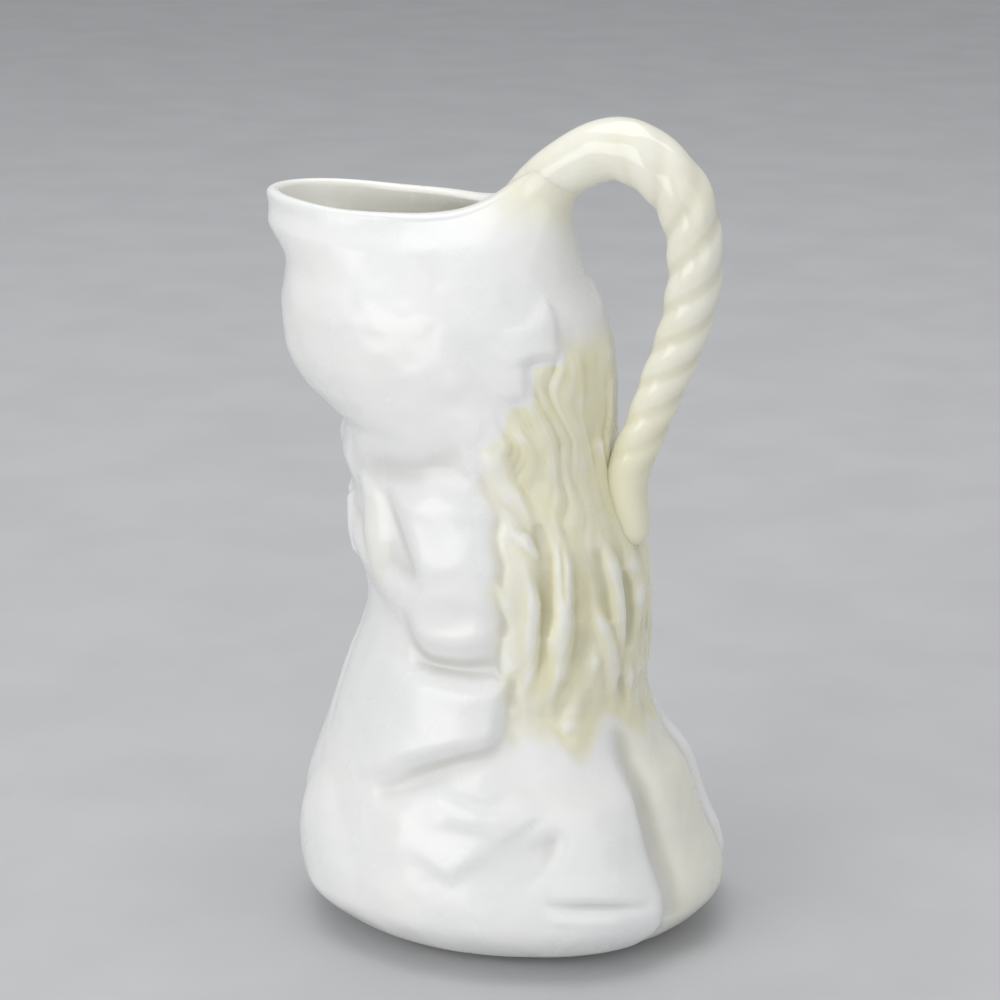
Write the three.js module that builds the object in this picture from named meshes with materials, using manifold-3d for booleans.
// A glazed porcelain cream jug cast as a hooded figure with long hair, with a rope-twist handle.
// Millimetres, +Z up. The spout and the figure's face point to -X, the handle to +X, and the two sides
// are alike. The origin is on the surface that the jug stands on, under the middle of its length.

import * as THREE from "three";
import Module from "manifold-3d";

const wasm = await Module();
wasm.setup();

// Cross-sections of the vessel from the foot up. Each gives its rise above the one below, and how far the
// wall reaches to the front, to the back and to each side.
const sections = {
  foot: { rise: 0, front: 19.5, back: 29.5, side: 22.5 },
  footCurve: { rise: 3, front: 28, back: 35.5, side: 28.5 },
  base: { rise: 6.6, front: 33, back: 39.8, side: 33.2 },
  hem: { rise: 9.4, front: 32.5, back: 36.4, side: 31.5 },
  shin: { rise: 9.5, front: 30.2, back: 33, side: 28.8 },
  knee: { rise: 5.5, front: 28.6, back: 29.2, side: 27 },
  lap: { rise: 11, front: 25.2, back: 25.4, side: 24 },
  waist: { rise: 12.8, front: 21, back: 25.5, side: 22.2 },
  chest: { rise: 10.2, front: 22.6, back: 24.4, side: 22.6 },
  neck: { rise: 8.7, front: 23.4, back: 21.6, side: 21.4 },
  chin: { rise: 6.8, front: 25.6, back: 19.8, side: 21 },
  brow: { rise: 4.5, front: 25, back: 19.7, side: 21 },
  hoodEdge: { rise: 3.6, front: 29, back: 19.8, side: 21.2 },
  hoodFlare: { rise: 3.6, front: 33.3, back: 19.8, side: 21.6 },
  hoodLow: { rise: 5.2, front: 36.2, back: 19.6, side: 22 },
  hood: { rise: 6.9, front: 37, back: 18.2, side: 21.5 },
  crown: { rise: 6.7, front: 36.4, back: 14.8, side: 18.8 },
  throat: { rise: 6, front: 40.2, back: 11.2, side: 15.6 },
  rim: { rise: 5, front: 41.5, back: 0.8, side: 13.2 },
};
const spoutLift = 1.2; // rise of the spout's tip above the rest of the rim

// Wall and foot
const wall = 2.2;
const floorThickness = 3.5;
const footRingWidth = 4.5;
const footRecess = 1.5;

// Handle: how far its spine stands from the rim, the wall and the origin, and its half thickness on the way
const handleRootStandOff = 0.4; // start of the spine, behind the rim's back
const handleRootDrop = 5.5; // start of the spine, below the rim
const handleClimbReach = 11.7;
const handleClimbRise = 6.5;
const handleTopReach = 22.6;
const handleTopRise = 11;
const handleBendReach = 32.5;
const handleBendRise = 4.8;
const handleBackReach = 35.4;
const handleBackDrop = 6.2;
const handleWaistReach = 33.7;
const handleWaistHeight = 107;
const handleLowReach = 28;
const handleLowHeight = 91.5;
const tongueTop = 79.5;
const tongueTopStandOff = 3.2; // spine of the tongue outside the smooth wall
const tongueEnd = 71.5;
const tongueEndStandOff = 1.4;
const tongueTip = 67.3;
const tongueTipStandOff = 0.6;
const handleRootRadius = 5.6;
const handleClimbRadius = 4.75;
const handleTopRadius = 5.35;
const handleBackRadius = 4.5;
const handleWaistRadius = 4.15;
const handleLowRadius = 3.65;
const tongueEndRadius = 3;
const tongueTipRadius = 1.4;
const ropeLobes = 3;
const ropePitch = 21; // length of one turn of the twist
const ropeGroove = 0.04; // depth of the grooves between lobes, as a part of the radius
const plainRoot = 24; // length of the root that is smooth, without twist
const plainTongue = 12;

// Luting slip between the handle and the wall
const slipThickness = 0.8;
const slipSpread = 0.7; // how far the slip shows past the handle, all round
const clearance = 0.3;

// Mesh fineness
const around = 80;
const backCrowding = 0.3; // how much closer the points lie at the back than on average
const wallRings = 60;
const innerRings = 12;
const handleSteps = 96;
const handleSides = 12;

const radians = THREE.MathUtils.degToRad;
const smooth = THREE.MathUtils.smoothstep;

// Heights of the sections, and smooth curves through their reaches
const heights = {};
let top = 0;
for (const [name, section] of Object.entries(sections)) {
  top += section.rise;
  heights[name] = top;
}
const rimHeight = heights.rim;

// A smooth curve through points (x rising) that never overshoots them.
function steadyCurve(x, y) {
  const last = x.length - 1;
  const step = x.slice(1).map((value, i) => value - x[i]);
  const slope = step.map((value, i) => (y[i + 1] - y[i]) / value);
  const tangent = [slope[0]];
  for (let i = 1; i < last; i++) {
    const weightA = 2 * step[i] + step[i - 1];
    const weightB = step[i] + 2 * step[i - 1];
    const turns = slope[i - 1] * slope[i] <= 0;
    tangent.push(turns ? 0 : (weightA + weightB) / (weightA / slope[i - 1] + weightB / slope[i]));
  }
  tangent.push(slope[last - 1]);
  return (at) => {
    let i = 0;
    while (i < last - 1 && at > x[i + 1]) i++;
    const t = (at - x[i]) / step[i];
    const s = 1 - t;
    return y[i] * (1 + 2 * t) * s * s + tangent[i] * step[i] * t * s * s
      + y[i + 1] * t * t * (3 - 2 * t) - tangent[i + 1] * step[i] * t * t * s;
  };
}

const sectionHeights = Object.values(heights);
const reachCurves = {};
for (const side of ["front", "back", "side"]) {
  reachCurves[side] = steadyCurve(sectionHeights, Object.values(sections).map((section) => section[side]));
}

// Reach of the smooth wall at a height, grown outwards by `grow` measured square to the wall.
function reachAt(side, z, grow = 0) {
  const probe = 0.5;
  const low = Math.max(z - probe, 0);
  const high = Math.min(z + probe, rimHeight);
  const slope = (reachCurves[side](high) - reachCurves[side](low)) / (high - low);
  return reachCurves[side](z) + grow * Math.hypot(1, slope);
}

// Point of an oval with those reaches, `proud` further out; the angle is measured from the front.
function ovalPoint(reach, angle, z, proud = 0) {
  const centre = (reach.back - reach.front) / 2;
  const length = (reach.back + reach.front) / 2;
  const along = Math.cos(angle);
  const across = Math.sin(angle);
  const radius = 1 / Math.hypot(along / length, across / reach.side) + proud;
  return new THREE.Vector3(centre - radius * along, -radius * across, z);
}

// Relief of the figure, drawn on [degrees from the front, height]. A swelling follows a line, with half
// widths and heights spread evenly along it.
const swellings = {
  forearm: {
    line: [[80, heights.waist + 2.2], [62, heights.waist + 4.7], [46, heights.chest - 2], [15, heights.chest + 4]],
    halfWidth: [5.6, 5.2, 4.9, 4.4], proud: [2.2, 1.8, 1.9, 2.4],
  },
  hands: {
    line: [[26, heights.chest + 2.6], [0, heights.chest + 4.6]],
    halfWidth: [4.6, 4.6], proud: [2.6, 2.9],
  },
  apron: {
    line: [[0, heights.lap + 9], [0, heights.shin - 2.5]],
    halfWidth: [9, 17], proud: [0.7, 2],
  },
  kneeDrape: {
    line: [[36, heights.hem - 1], [46, heights.base + 4.4]],
    halfWidth: [12.5, 12], proud: [2.3, 2.2],
  },
  frontHem: {
    line: [[0, heights.base + 5.4], [12, heights.base + 4.4]],
    halfWidth: [9.5, 9.5], proud: [1.5, 1.5],
  },
  train: {
    line: [[180, heights.base - 1.6], [176, heights.hem - 2], [174, heights.shin], [172, heights.knee + 3]],
    halfWidth: [13, 13, 11, 6], proud: [1.2, 1.1, 1.1, 1],
  },
  slotLip: {
    line: [[123, heights.base + 1.8], [137, heights.base + 0.8], [150, heights.base - 0.4]],
    halfWidth: [1.4, 1.9, 1.4], proud: [1.9, 2.4, 1.9],
  },
  hoodSide: {
    line: [[70, heights.brow + 6.5], [48, heights.chin + 2.5]],
    halfWidth: [7.5, 6], proud: [1, 1.3],
  },
  head: {
    line: [[0, heights.brow - 1], [0, heights.chin]],
    halfWidth: [7.6, 7], proud: [1.5, 1.5],
  },
  cheek: {
    line: [[10, heights.chin + 1.9], [12, heights.chin + 1.5]],
    halfWidth: [3.6, 3.6], proud: [2.2, 2.1],
  },
  nose: {
    line: [[0, heights.brow + 1.6], [0, heights.chin + 2.1]],
    halfWidth: [2.2, 2.8], proud: [1.8, 3.2],
  },
  mouth: {
    line: [[0, heights.chin - 0.7], [2.6, heights.chin - 0.9]],
    halfWidth: [2.2, 1.8], proud: [2.3, 2],
  },
  chin: {
    line: [[0, heights.chin - 2.9], [1.5, heights.chin - 2.9]],
    halfWidth: [2.6, 2.4], proud: [2.3, 2.2],
  },
};

// A pad fills a closed outline, with a rounded edge, and loses a part of its height towards its upper side.
// Where it says so, it rises from nothing between two turns from the front.
const pads = {
  upperArm: {
    outline: [[68, heights.neck + 2.8], [84, heights.neck + 5.7], [113, heights.neck + 4], [113, heights.neck - 2.7],
      [110, heights.chest - 2.5], [84, heights.chest - 3.5], [75, heights.chest - 2]],
    proud: 2.4, edge: 5.5, lift: 0.1,
  },
  elbow: {
    outline: [[71, heights.chest - 2.5], [86, heights.chest + 0.8], [107, heights.chest - 0.2],
      [109, heights.waist + 3.2], [107, heights.waist - 2.8], [88, heights.waist - 5.2], [76, heights.waist - 4.8],
      [67, heights.waist - 2]],
    proud: 3.4, edge: 5.2, lift: 0.15,
  },
  thigh: {
    outline: [[14, heights.lap + 9], [60, heights.lap + 8.4], [100, heights.lap + 6], [114, heights.lap + 5.4],
      [116.5, heights.lap], [114, heights.knee + 4.6], [86, heights.knee - 0.2], [66, heights.shin + 0.3],
      [50, heights.shin - 2], [30, heights.shin - 0.5], [14, heights.knee]],
    proud: 3.2, edge: 4.4, lift: 0.2, fadeIn: [16, 62],
  },
  drape: {
    outline: [[60, heights.footCurve - 1], [138, heights.footCurve - 2], [154, heights.footCurve + 1],
      [157.5, heights.hem - 1], [158, heights.knee - 2], [157, heights.knee + 4], [146, heights.knee + 4],
      [118, heights.knee - 1], [80, heights.shin - 2.5], [60, heights.hem + 1]],
    proud: 2.3, edge: 4.4, lift: 0, fadeIn: [92, 140],
  },
};

// Turned-over edge of the cloth on the base: a pad with a raised border, over a hollow
const turnedFold = {
  outline: [[72, heights.hem + 8], [78, heights.hem + 11.2], [96, heights.hem + 12.8], [116, heights.hem + 14],
    [130.5, heights.hem + 9.2], [117.7, heights.hem + 4.7], [94.7, heights.hem - 3.8], [81, heights.hem + 1.6]],
  proud: 1, edge: 2.6, lift: 0,
};
const turnedFoldBorder = [
  {
    line: [[77, heights.hem + 7.8], [86, heights.hem + 9.6], [112, heights.hem + 10], [126, heights.hem + 10]],
    halfWidth: [3.2, 3.8, 3.8, 1.6], proud: [1.1, 1.5, 1.5, 0.5],
  },
  {
    line: [[78, heights.hem + 7], [89, heights.hem + 0.6], [96, heights.hem - 1.8]],
    halfWidth: [3, 3, 1.6], proud: [1.1, 1.1, 0.3],
  },
];
const foldHollow = {
  outline: [[107, heights.hem + 0.4], [119, heights.hem + 4.8], [130.5, heights.hem + 9], [133.5, heights.hem + 8],
    [128, heights.hem + 1.3], [115, heights.hem - 3.2]],
  proud: 1.9, edge: 2, lift: 0,
};

// Leaves round the side of the hood: the mass of them, and each leaf on top of it
const leafEdge = 1.6;
const leafLift = 0.7;
const wreath = {
  outline: [[95.5, heights.hoodEdge + 1], [99, heights.hoodEdge - 2], [113, heights.hoodEdge - 3],
    [127, heights.hoodEdge - 0.6], [132, heights.hoodFlare - 1.4], [141.5, heights.hoodLow - 3.2],
    [143.5, heights.hoodLow + 1], [155.5, heights.hoodLow + 1.2], [159.5, heights.hood + 1.7],
    [150, heights.crown + 4], [126, heights.crown + 4.5], [102, heights.hood + 0.7], [94.5, heights.hoodLow - 3.4]],
  proud: 1.2, edge: 2, lift: 0.75,
};
const leaves = [
  { proud: 0.9, outline: [[130.5, heights.crown - 2.5], [144.5, heights.crown - 4.2], [149, heights.crown - 1.5],
    [150, heights.crown + 3], [142, heights.crown + 5.5], [128.5, heights.crown + 0.5]] },
  { proud: 1.1, outline: [[143.5, heights.hood - 3.3], [148, heights.hoodLow + 1.6], [155.5, heights.hoodLow + 1.2],
    [159.5, heights.hood + 1.7], [156, heights.crown - 0.2], [150, heights.crown + 0.2]] },
  { proud: 0.8, outline: [[126.5, heights.hoodLow + 1.2], [132, heights.hoodFlare - 0.6],
    [137, heights.hoodFlare - 0.6], [143.4, heights.hoodLow + 1.1], [137, heights.hood + 1.3],
    [130, heights.hood + 0.2]] },
  { proud: 0.9, outline: [[97, heights.hoodLow + 0.2], [108, heights.hoodLow - 3.2], [116, heights.hoodLow - 2.8],
    [120.5, heights.hoodLow - 0.4], [110, heights.hoodLow + 3.2], [102, heights.hoodLow + 2.8]] },
  { proud: 1, outline: [[95.5, heights.hoodEdge + 1], [99, heights.hoodEdge - 2], [113, heights.hoodEdge - 3],
    [127, heights.hoodEdge - 0.6], [131.5, heights.hoodFlare - 1.4], [112, heights.hoodFlare + 0.6]] },
];

// A groove lies along a line too, with one half width and one depth.
const grooves = {
  underChin: {
    line: [[34, heights.chin - 1], [52, heights.chin - 1.5], [92, heights.chin + 1.3], [110, heights.brow - 1.4]],
    halfWidth: 2.8, depth: 1.2,
  },
  underElbow: {
    line: [[64, heights.waist + 2.2], [71, heights.waist - 2.8], [84, heights.waist - 6], [112, heights.waist - 6.2]],
    halfWidth: 1.9, depth: 1.2,
  },
  underThigh: {
    line: [[60, heights.shin - 1.1], [86, heights.shin + 4.5], [111, heights.knee + 4], [118, heights.knee + 7]],
    halfWidth: 2.3, depth: 1.1,
  },
  underTemple: {
    line: [[86, heights.hoodLow + 1], [106, heights.hoodLow + 4.2]],
    halfWidth: 1.9, depth: 0.9,
  },
  slot: {
    line: [[121, heights.base + 4.4], [136, heights.base + 3.6], [151, heights.base + 2.2]],
    halfWidth: 1.2, depth: 1,
  },
  besideTrain: {
    line: [[162, heights.knee + 5], [160.4, heights.shin - 2.5], [158.5, heights.base - 1.6]],
    halfWidth: 2.6, depth: 1.6,
  },
};
const deepestGroove = 0.8; // how far a groove may go into the smooth wall
const padOverhang = 0.35; // part of a pad's rounded edge that lies outside its outline

const hair = {
  edge: [[heights.knee + 4, 118], [heights.lap + 1.5, 112.5], [heights.waist - 2.8, 107], [heights.waist + 6.2, 106.5],
    [heights.neck, 111], [heights.chin, 112], [heights.brow + 1, 111], [heights.hoodFlare + 0.8, 122]],
  edgeFade: 11, // degrees over which it rises from its front edge
  low: heights.knee + 5,
  lowFade: 9,
  high: heights.hoodLow + 4,
  highFade: 7,
  proud: 1.25,
};

// Locks on top of the hair, and partings in it
const locks = [
  { line: [[115, heights.brow + 3], [122, heights.chin], [129, heights.neck], [131, heights.chest + 2]],
    halfWidth: [2.4, 3, 3, 1.6], proud: [1.3, 1.9, 1.9, 1.2] },
  { line: [[119, heights.neck + 2.3], [115, heights.chest - 4], [114, heights.waist - 1.8], [121, heights.lap - 2]],
    halfWidth: [2.6, 4.2, 4.4, 3.2], proud: [1.2, 1.6, 1.7, 1] },
  { line: [[124, heights.neck - 2.7], [127, heights.chest + 1.5], [123, heights.waist - 0.8], [123, heights.lap + 5]],
    halfWidth: [1.6, 2.6, 2.6, 1.6], proud: [1.3, 2, 1.9, 1.1] },
  { line: [[138, heights.neck + 2.3], [135.5, heights.chest - 4], [135, heights.waist - 4.8], [135, heights.lap]],
    halfWidth: [2, 3.6, 3.5, 1.8], proud: [1.4, 2.4, 2.3, 1.1] },
  { line: [[149, heights.chest + 3], [151.5, heights.chest - 3], [150.5, heights.waist + 1.2], [155, heights.lap + 5],
    [153, heights.lap - 3]],
  halfWidth: [1.4, 2.4, 2.5, 2.4, 1.2], proud: [1.3, 2.1, 2.3, 2, 1.1] },
  { line: [[160, heights.neck], [162, heights.chest + 1], [162.5, heights.waist + 3.2], [168, heights.lap + 2]],
    halfWidth: [2, 3.2, 3.2, 1.4], proud: [1.5, 2.3, 2.4, 1.1] },
  { line: [[173, heights.chest + 3], [176, heights.chest - 3], [178, heights.waist], [176, heights.lap]],
    halfWidth: [2, 3.4, 3.6, 1.4], proud: [1.4, 2.6, 2.8, 1.1] },
];
const partings = [
  { line: [[133, heights.neck], [131, heights.chest - 2], [128.5, heights.waist + 1.2]], halfWidth: 1.4, depth: 1 },
  { line: [[146.5, heights.neck - 2.7], [144, heights.waist + 2.2], [139.5, heights.lap - 1]],
    halfWidth: 1.6, depth: 1.3 },
];

// Lock that hangs in front of the shoulder, over the arm
const frontLock = {
  line: [[44, heights.chin - 1.5], [51, heights.neck + 0.8], [53, heights.chest + 3], [51.5, heights.chest - 2.5],
    [47, heights.waist + 3.7]],
  halfWidth: [2.4, 4.6, 5, 4, 1.8], proud: [0.6, 1.8, 2.3, 2.1, 0.9],
};

// Flat place in the hair that the handle's tongue is pressed on
const tongueSeat = {
  halfAngle: THREE.MathUtils.radToDeg((handleLowRadius + slipSpread) / sections.chest.back),
  fadeAngle: 6,
  fadeHeight: 6,
};

function meanRadius(z) {
  return (reachCurves.front(z) + reachCurves.back(z) + 2 * reachCurves.side(z)) / 4;
}

// Distance from a line on the wall, and the share of the way along it of the nearest point
function nearestOn(line, degrees, z) {
  const middle = line.reduce((sum, point) => sum + point[1], 0) / line.length;
  const perDegree = radians(meanRadius(middle));
  const spans = line.length - 1;
  const nearest = { gap: Infinity, along: 0 };
  for (let i = 0; i < spans; i++) {
    const startX = (degrees - line[i][0]) * perDegree;
    const startZ = z - line[i][1];
    const runX = (line[i + 1][0] - line[i][0]) * perDegree;
    const runZ = line[i + 1][1] - line[i][1];
    const along = (startX * runX + startZ * runZ) / (runX ** 2 + runZ ** 2);
    const share = THREE.MathUtils.clamp(along, 0, 1);
    const gap = Math.hypot(startX - share * runX, startZ - share * runZ);
    if (gap < nearest.gap) {
      nearest.gap = gap;
      nearest.along = (i + share) / spans;
    }
  }
  return nearest;
}

// A value that runs evenly through several along a line
function spread(values, along) {
  const place = along * (values.length - 1);
  const i = Math.min(Math.floor(place), values.length - 2);
  return THREE.MathUtils.lerp(values[i], values[i + 1], place - i);
}

function swellingAt({ line, halfWidth, proud }, degrees, z) {
  const { gap, along } = nearestOn(line, degrees, z);
  return spread(proud, along) * Math.max(1 - (gap / spread(halfWidth, along)) ** 2, 0);
}

function grooveAt({ line, halfWidth, depth }, degrees, z) {
  const { gap } = nearestOn(line, degrees, z);
  return depth * Math.exp(-((gap / halfWidth) ** 2));
}

function padAt({ outline, proud, edge, lift, fadeIn }, degrees, z) {
  const closed = [...outline, outline[0]];
  let inside = false;
  outline.forEach(([startTurn, startZ], i) => {
    const [endTurn, endZ] = closed[i + 1];
    const crosses = startZ > z !== endZ > z;
    const crossing = startTurn + ((z - startZ) / (endZ - startZ)) * (endTurn - startTurn);
    if (crosses && degrees < crossing) inside = !inside;
  });
  const { gap } = nearestOn(closed, degrees, z);
  const levels = outline.map((point) => point[1]);
  const share = THREE.MathUtils.mapLinear(z, Math.min(...levels), Math.max(...levels), 0, 1);
  const kept = 1 - lift * THREE.MathUtils.clamp(share, 0, 1);
  const risen = fadeIn ? smooth(degrees, ...fadeIn) : 1;
  return proud * kept * risen * smooth(inside ? gap : -gap, -padOverhang * edge, edge);
}

function tallest(forms, heightAt, degrees, z) {
  return Math.max(...forms.map((form) => heightAt(form, degrees, z)));
}

const hairEdge = steadyCurve(hair.edge.map((point) => point[0]), hair.edge.map((point) => point[1]));
const hairEdgeLow = hair.edge[0][0];
const hairEdgeHigh = hair.edge[hair.edge.length - 1][0];

function hairAt(degrees, z) {
  const edge = hairEdge(THREE.MathUtils.clamp(z, hairEdgeLow, hairEdgeHigh));
  const inside = smooth(degrees, edge, edge + hair.edgeFade)
    * smooth(z, hair.low - hair.lowFade / 2, hair.low + hair.lowFade / 2)
    * (1 - smooth(z, hair.high - hair.highFade / 2, hair.high + hair.highFade / 2));
  const offSeat = Math.max(
    smooth(180 - degrees, tongueSeat.halfAngle, tongueSeat.halfAngle + tongueSeat.fadeAngle),
    1 - smooth(z, tongueTip - tongueSeat.fadeHeight, tongueTip),
    smooth(z, tongueTop + handleLowRadius, tongueTop + handleLowRadius + tongueSeat.fadeHeight),
  );
  let proud = Math.max(inside * hair.proud, tallest(locks, swellingAt, degrees, z));
  for (const form of partings) proud -= inside * grooveAt(form, degrees, z);
  return offSeat * proud;
}

function leavesAt(degrees, z) {
  const leafAt = (leaf) => padAt({ ...leaf, edge: leafEdge, lift: leafLift }, degrees, z);
  return padAt(wreath, degrees, z) + Math.max(...leaves.map(leafAt));
}

function reliefAt(angle, z) {
  const turned = THREE.MathUtils.euclideanModulo(angle, 2 * Math.PI);
  const degrees = THREE.MathUtils.radToDeg(Math.min(turned, 2 * Math.PI - turned));
  const body = Math.max(
    tallest(Object.values(swellings), swellingAt, degrees, z),
    tallest(Object.values(pads), padAt, degrees, z),
  );
  const fold = padAt(turnedFold, degrees, z) + tallest(turnedFoldBorder, swellingAt, degrees, z);
  let proud = Math.max(body - padAt(foldHollow, degrees, z), fold);
  for (const form of Object.values(grooves)) proud -= grooveAt(form, degrees, z);
  const over = Math.max(hairAt(degrees, z), swellingAt(frontLock, degrees, z), leavesAt(degrees, z));
  const overFoot = smooth(z, heights.foot, heights.footCurve);
  const underRim = 1 - smooth(z, heights.throat, rimHeight);
  return overFoot * underRim * Math.max(proud, over, -deepestGroove);
}

// Rings of points
const angles = Array.from({ length: around }, (_, i) => {
  const even = (2 * Math.PI * i) / around;
  return even + backCrowding * Math.sin(even);
});

function ovalRing(reach, z) {
  return angles.map((angle) => ovalPoint(reach, angle, z));
}

function wallRing(z, { grow = 0, relief = true } = {}) {
  const reach = {};
  for (const side of ["front", "back", "side"]) reach[side] = reachAt(side, z, grow);
  const lifted = smooth(z, heights.hood, rimHeight);
  return angles.map((angle) => {
    const lift = spoutLift * lifted * Math.max(Math.cos(angle), 0) ** 2;
    return ovalPoint(reach, angle, z + lift, relief ? reliefAt(angle, z) : 0);
  });
}

function insetReach(reach, inset) {
  return { front: reach.front - inset, back: reach.back - inset, side: reach.side - inset };
}

function middleRing(a, b, z) {
  return a.map((point, i) => point.clone().lerp(b[i], 0.5).setZ(point.z + z));
}

// A closed solid skinned over rings of equal length, with a fan at each end. The rings run so that each
// ring's points, seen from the next ring, turn clockwise about the way on.
function skin(rings) {
  const count = rings[0].length;
  const positions = [];
  const index = [];
  const put = (point) => positions.push(point.x, point.y, point.z);
  rings.forEach((ring) => ring.forEach(put));
  for (let r = 0; r + 1 < rings.length; r++) {
    for (let i = 0; i < count; i++) {
      const a = r * count + i;
      const b = r * count + ((i + 1) % count);
      index.push(a, b, b + count, a, b + count, a + count);
    }
  }
  const close = (ring, first, reversed) => {
    const middle = positions.length / 3;
    const centre = ring.reduce((sum, point) => sum.add(point), new THREE.Vector3()).divideScalar(count);
    put(centre);
    for (let i = 0; i < count; i++) {
      const next = (i + 1) % count;
      if (reversed) index.push(middle, first + next, first + i);
      else index.push(middle, first + i, first + next);
    }
  };
  close(rings[0], 0, true);
  close(rings[rings.length - 1], (rings.length - 1) * count, false);
  const geometry = new THREE.BufferGeometry();
  geometry.setAttribute("position", new THREE.Float32BufferAttribute(positions, 3));
  geometry.setIndex(index);
  return geometry;
}

// Joining and cutting
function solidOf(geometry) {
  const vertProperties = new Float32Array(geometry.attributes.position.array);
  const triVerts = new Uint32Array(geometry.index.array);
  return new wasm.Manifold(new wasm.Mesh({ numProp: 3, vertProperties, triVerts }));
}

function geometryOf(solid) {
  const mesh = solid.getMesh();
  const geometry = new THREE.BufferGeometry();
  geometry.setAttribute("position", new THREE.BufferAttribute(mesh.vertProperties, 3));
  geometry.setIndex(new THREE.BufferAttribute(mesh.triVerts, 1));
  return geometry;
}

// The vessel: underside, foot ring, outer wall, rounded rim, inner wall and floor
function vesselGeometry() {
  const rings = [];
  const footReach = sections.foot;
  rings.push(ovalRing(insetReach(footReach, footRingWidth + footRecess), footRecess));
  rings.push(ovalRing(insetReach(footReach, footRingWidth), 0));
  rings.push(ovalRing(footReach, 0));
  const lipDrop = wall / 2;
  const wallTop = rimHeight - lipDrop;
  for (let i = 1; i <= wallRings; i++) rings.push(wallRing((wallTop * i) / wallRings));
  const outerLip = rings[rings.length - 1];
  const innerLip = wallRing(wallTop, { grow: -wall, relief: false });
  rings.push(middleRing(outerLip, innerLip, lipDrop));
  rings.push(innerLip);
  const floorHeight = footRecess + floorThickness;
  for (let i = 1; i <= innerRings; i++) {
    const z = THREE.MathUtils.lerp(wallTop, floorHeight + wall, i / innerRings);
    rings.push(wallRing(z, { grow: -wall, relief: false }));
  }
  const floorReach = {};
  for (const side of ["front", "back", "side"]) {
    floorReach[side] = reachAt(side, floorHeight + wall, -2 * wall);
  }
  rings.push(ovalRing(floorReach, floorHeight));
  return skin(rings);
}

// The space that the vessel fills, grown outwards by `grow`
function filledVessel(grow) {
  const rings = [];
  for (let i = 0; i <= wallRings; i++) rings.push(wallRing((rimHeight * i) / wallRings, { grow }));
  rings[0].forEach((point) => point.setZ(-grow));
  const crown = rings[rings.length - 1].map((point) => point.clone().setZ(point.z + grow));
  return solidOf(skin([...rings, crown]));
}

// The handle's spine and half thickness, from the root in the rim to the tip of the tongue
const onWall = (z, standOff) => ({ x: reachAt("back", z) + standOff, z });
const bendRadius = (handleTopRadius + handleBackRadius) / 2;
const spineStations = [
  { x: sections.rim.back + handleRootStandOff, z: rimHeight - handleRootDrop, radius: handleRootRadius },
  { x: handleClimbReach, z: rimHeight + handleClimbRise, radius: handleClimbRadius },
  { x: handleTopReach, z: rimHeight + handleTopRise, radius: handleTopRadius },
  { x: handleBendReach, z: rimHeight + handleBendRise, radius: bendRadius },
  { x: handleBackReach, z: rimHeight - handleBackDrop, radius: handleBackRadius },
  { x: handleWaistReach, z: handleWaistHeight, radius: handleWaistRadius },
  { x: handleLowReach, z: handleLowHeight, radius: handleLowRadius },
  { ...onWall(tongueTop, tongueTopStandOff), radius: handleLowRadius },
  { ...onWall(tongueEnd, tongueEndStandOff), radius: tongueEndRadius },
  { ...onWall(tongueTip, tongueTipStandOff), radius: tongueTipRadius },
];
const spine = new THREE.CatmullRomCurve3(spineStations.map(({ x, z }) => new THREE.Vector3(x, 0, z)));
const spineLength = spine.getLength();

function radiusAlong(t) {
  const place = spine.getUtoTmapping(t) * (spineStations.length - 1);
  const i = Math.min(Math.floor(place), spineStations.length - 2);
  return THREE.MathUtils.lerp(spineStations[i].radius, spineStations[i + 1].radius, place - i);
}

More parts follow.
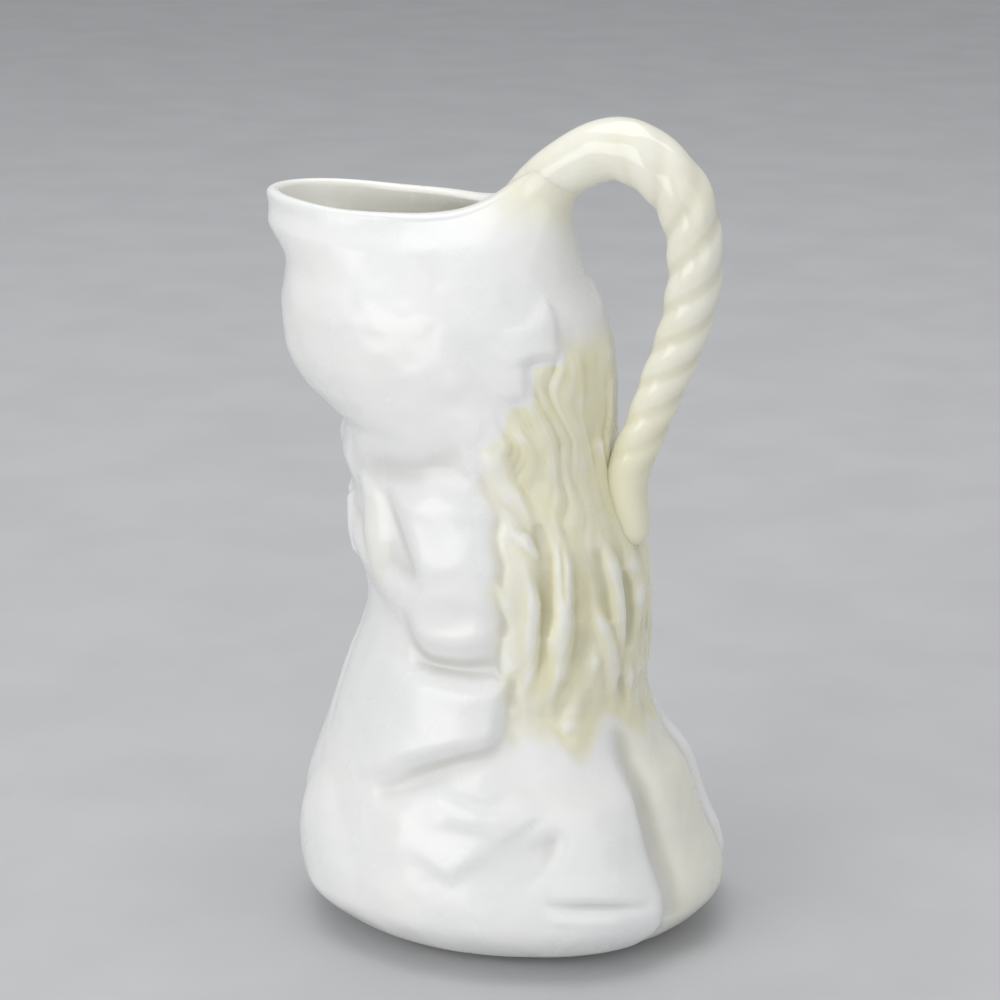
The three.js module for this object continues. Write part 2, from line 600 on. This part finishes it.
// The handle as a twisted tube between two places on its spine, `spread` thicker all round
function handleTube(from, to, steps, spread = 0) {
  const rings = [];
  for (let i = 0; i <= steps; i++) {
    const t = THREE.MathUtils.lerp(from, to, i / steps);
    const centre = spine.getPointAt(t);
    const ahead = spine.getTangentAt(t);
    const outward = new THREE.Vector3(-ahead.z, 0, ahead.x);
    const travelled = t * spineLength;
    const twisted = smooth(travelled, plainRoot / 2, plainRoot)
      * (1 - smooth(travelled, spineLength - plainTongue, spineLength - plainTongue / 2));
    const turn = (2 * Math.PI * travelled) / ropePitch;
    const ring = [];
    for (let j = 0; j < handleSides; j++) {
      const angle = (2 * Math.PI * j) / handleSides;
      const lobe = 1 + ropeGroove * twisted * Math.cos(ropeLobes * (angle - turn));
      const reach = radiusAlong(t) * lobe + spread;
      const point = centre.clone().addScaledVector(outward, reach * Math.cos(angle));
      ring.push(point.setY(-reach * Math.sin(angle)));
    }
    rings.push(ring);
  }
  return solidOf(skin(rings));
}

const handleSeat = filledVessel(2 * clearance + slipThickness);
const slipFace = filledVessel(clearance + slipThickness);
const slipSeat = filledVessel(clearance);

const rootShare = plainRoot / spineLength;
const tongueShare = 1 - (tongueTop + handleLowRadius - tongueTip) / spineLength;
const slipSteps = 16;

function slipLayer(from, to) {
  return handleTube(from, to, slipSteps, slipSpread).intersect(slipFace).subtract(slipSeat);
}

// Materials
const whiteGlaze = new THREE.MeshStandardMaterial({ color: 0xf0f0ee, roughness: 0.12, metalness: 0 });
const creamGlaze = new THREE.MeshStandardMaterial({ color: 0xe6e4d2, roughness: 0.14, metalness: 0 });
const slipGlaze = new THREE.MeshStandardMaterial({ color: 0xeceadf, roughness: 0.16, metalness: 0 });

function piece(name, geometry, material) {
  const mesh = new THREE.Mesh(geometry, material);
  mesh.name = name;
  geometry.computeVertexNormals();
  return mesh;
}

const creamer = new THREE.Group();
creamer.add(piece("vessel_body", vesselGeometry(), whiteGlaze));
creamer.add(piece("handle", geometryOf(handleTube(0, 1, handleSteps).subtract(handleSeat)), creamGlaze));
creamer.add(piece("upper_luting_slip", geometryOf(slipLayer(0, rootShare)), slipGlaze));
creamer.add(piece("lower_luting_slip", geometryOf(slipLayer(tongueShare, 1)), slipGlaze));

export default creamer;
